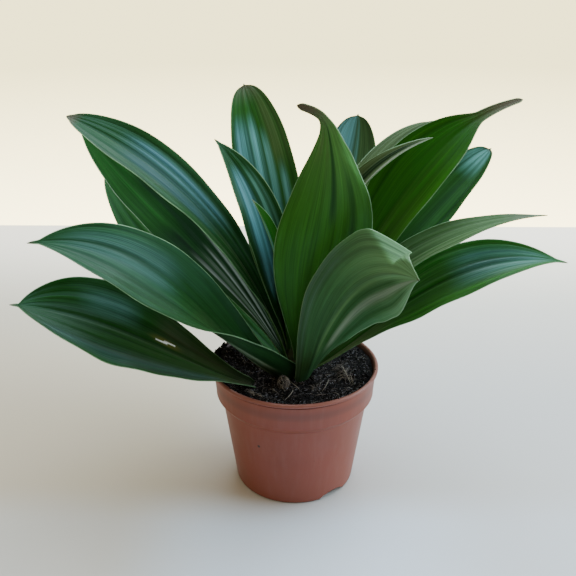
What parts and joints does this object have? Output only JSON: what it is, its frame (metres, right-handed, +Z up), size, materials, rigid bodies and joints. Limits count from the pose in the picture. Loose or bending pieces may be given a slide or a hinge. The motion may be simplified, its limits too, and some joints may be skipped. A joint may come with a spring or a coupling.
{
  "type": "potted dracaena",
  "caption": "Leafy dracaena with broad channelled blades that clasp a short cane, standing in a round nursery pot filled with peat.",
  "frame": {"origin": "middle of the pot's underside, on the surface it stands on", "axes": "+Z up, -Y towards the plant's front, with the tall leaf and the bent leaf, +X to the right seen from there"},
  "size_m": [0.3381, 0.2256, 0.2834],
  "materials": {
    "pot": "smooth terracotta-brown moulded plastic with a soft gloss",
    "soil": "damp near-black peat, rough and matt, with pale fibres",
    "stem": "green cane with a dull skin",
    "leaf": "dark green blade with a waxy bluish sheen above, duller and greyer below"
  },
  "bodies": {
    "root": {"pot": "pot", "soil": "soil", "stem": "stem", "leaf_left_low": "leaf", "leaf_left_broad": "leaf", "leaf_left_rear": "leaf", "leaf_left_inner": "leaf", "leaf_left_long": "leaf", "leaf_back_left": "leaf", "leaf_inner_left": "leaf", "leaf_young_left": "leaf", "leaf_front_tall": "leaf", "leaf_front_bent": "leaf", "leaf_right_low": "leaf", "leaf_right_arching": "leaf", "leaf_right_rear": "leaf", "leaf_right_large": "leaf", "leaf_back_curling": "leaf", "leaf_back_right": "leaf", "leaf_young_channelled": "leaf", "leaf_spear": "leaf"}
  },
  "joints": []
}
